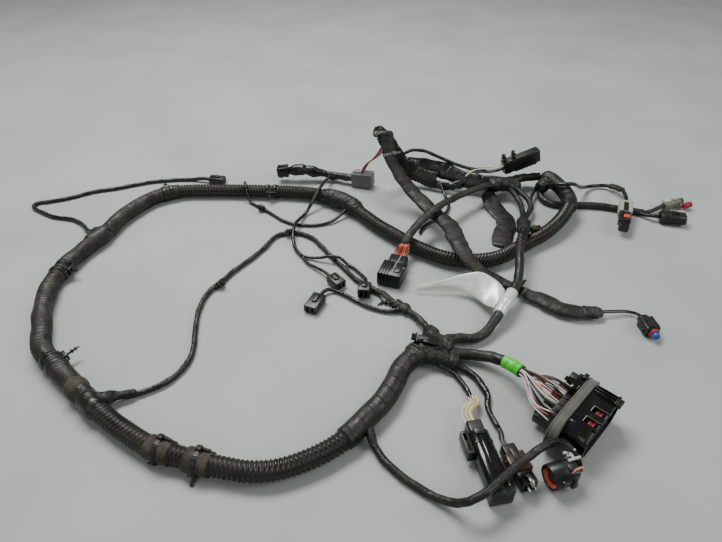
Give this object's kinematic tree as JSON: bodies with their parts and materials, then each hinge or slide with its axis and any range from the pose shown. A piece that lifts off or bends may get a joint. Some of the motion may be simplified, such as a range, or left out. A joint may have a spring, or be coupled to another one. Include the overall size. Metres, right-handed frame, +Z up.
{
  "type": "vehicle wiring harness",
  "caption": "Used vehicle wiring harness laid out in a loop: corrugated and taped trunk, thin taped branches, clips, tapes and many connectors.",
  "frame": {"origin": "middle of the floor box that the laid-out harness covers, on the surface it lies on", "axes": "+X to the right along the laid-out harness, from the trunk loop to the right-hand plugs; +Y away from the viewer, towards the rear tangle; +Z up"},
  "size_m": [1.1304, 0.6521, 0.1238],
  "materials": {
    "conduit": "corrugated polyamide, dusty",
    "cloth_tape": "woven cloth tape, dusty",
    "brown_tape": "brown-black fabric tape, worn",
    "vinyl_tape": "wound PVC tape, satin",
    "black_nylon": "moulded nylon, satin",
    "grey_rubber": "soft moulded seal, matt",
    "red_seal": "silicone seal, satin",
    "red_plastic": "moulded, satin",
    "blue_plastic": "moulded, satin",
    "orange_plastic": "moulded, satin",
    "green_tape": "wound PVC tape, satin",
    "green_plastic": "moulded, satin",
    "white_plastic": "moulded, translucent, satin",
    "grey_plastic": "moulded, matt",
    "silver_film": "blank silvery label film",
    "wire_mix": "thin insulated wires of several colours"
  },
  "bodies": {
    "root": {"front_conduit": "conduit", "side_taped_trunk": "cloth_tape", "rear_conduit": "conduit", "knuckle_tape": "cloth_tape", "far_conduit": "conduit", "far_end_tape": "cloth_tape", "clamp_band_1": "brown_tape", "clamp_band_2": "brown_tape", "fork_tape": "cloth_tape", "lead_a": "vinyl_tape", "lead_b": "vinyl_tape", "lead_c": "vinyl_tape", "lead_e": "vinyl_tape", "lead_f": "cloth_tape", "crossing_tape": "cloth_tape", "lead_g": "cloth_tape", "green_tape": "green_tape", "lead_h": "vinyl_tape", "lead_h_short": "vinyl_tape", "label_wrap": "silver_film", "label_flag": "silver_film", "rear_fork_tape": "cloth_tape", "rear_sleeves": "cloth_tape", "strap_front": "brown_tape", "flat_ribbon": "vinyl_tape", "plug_lead": "cloth_tape", "right_thin_lead": "vinyl_tape", "right_thick_lead": "cloth_tape", "bulkhead_shroud": "black_nylon", "bulkhead_flange_seal": "grey_rubber", "bulkhead_core_seal": "red_seal", "bulkhead_wire_block": "black_nylon", "bulkhead_wires": "wire_mix", "inline_connector": "black_nylon", "blade_connector": "black_nylon", "round_connector": "black_nylon", "round_connector_seal": "red_seal", "round_connector_clip": "grey_plastic", "lead_i": "vinyl_tape", "signal_plug": "black_nylon", "signal_plug_core": "blue_plastic", "signal_plug_seal": "red_seal", "multi_connector": "black_nylon", "lead_m": "cloth_tape", "rear_connector": "black_nylon", "rear_plug": "black_nylon", "grey_connector": "grey_plastic", "locked_plug_cover": "white_plastic", "locked_plug": "black_nylon", "locked_plug_lock": "orange_plastic", "capped_plug": "white_plastic", "capped_plug_cap": "green_plastic", "red_plug": "red_plastic", "dark_plug": "black_nylon", "lead_a_plug": "black_nylon", "lead_c_plug": "black_nylon", "lead_d_plug": "black_nylon", "lead_c_box": "black_nylon", "strap_tie": "grey_plastic", "sleeve_tie": "black_nylon"}
  },
  "joints": []
}
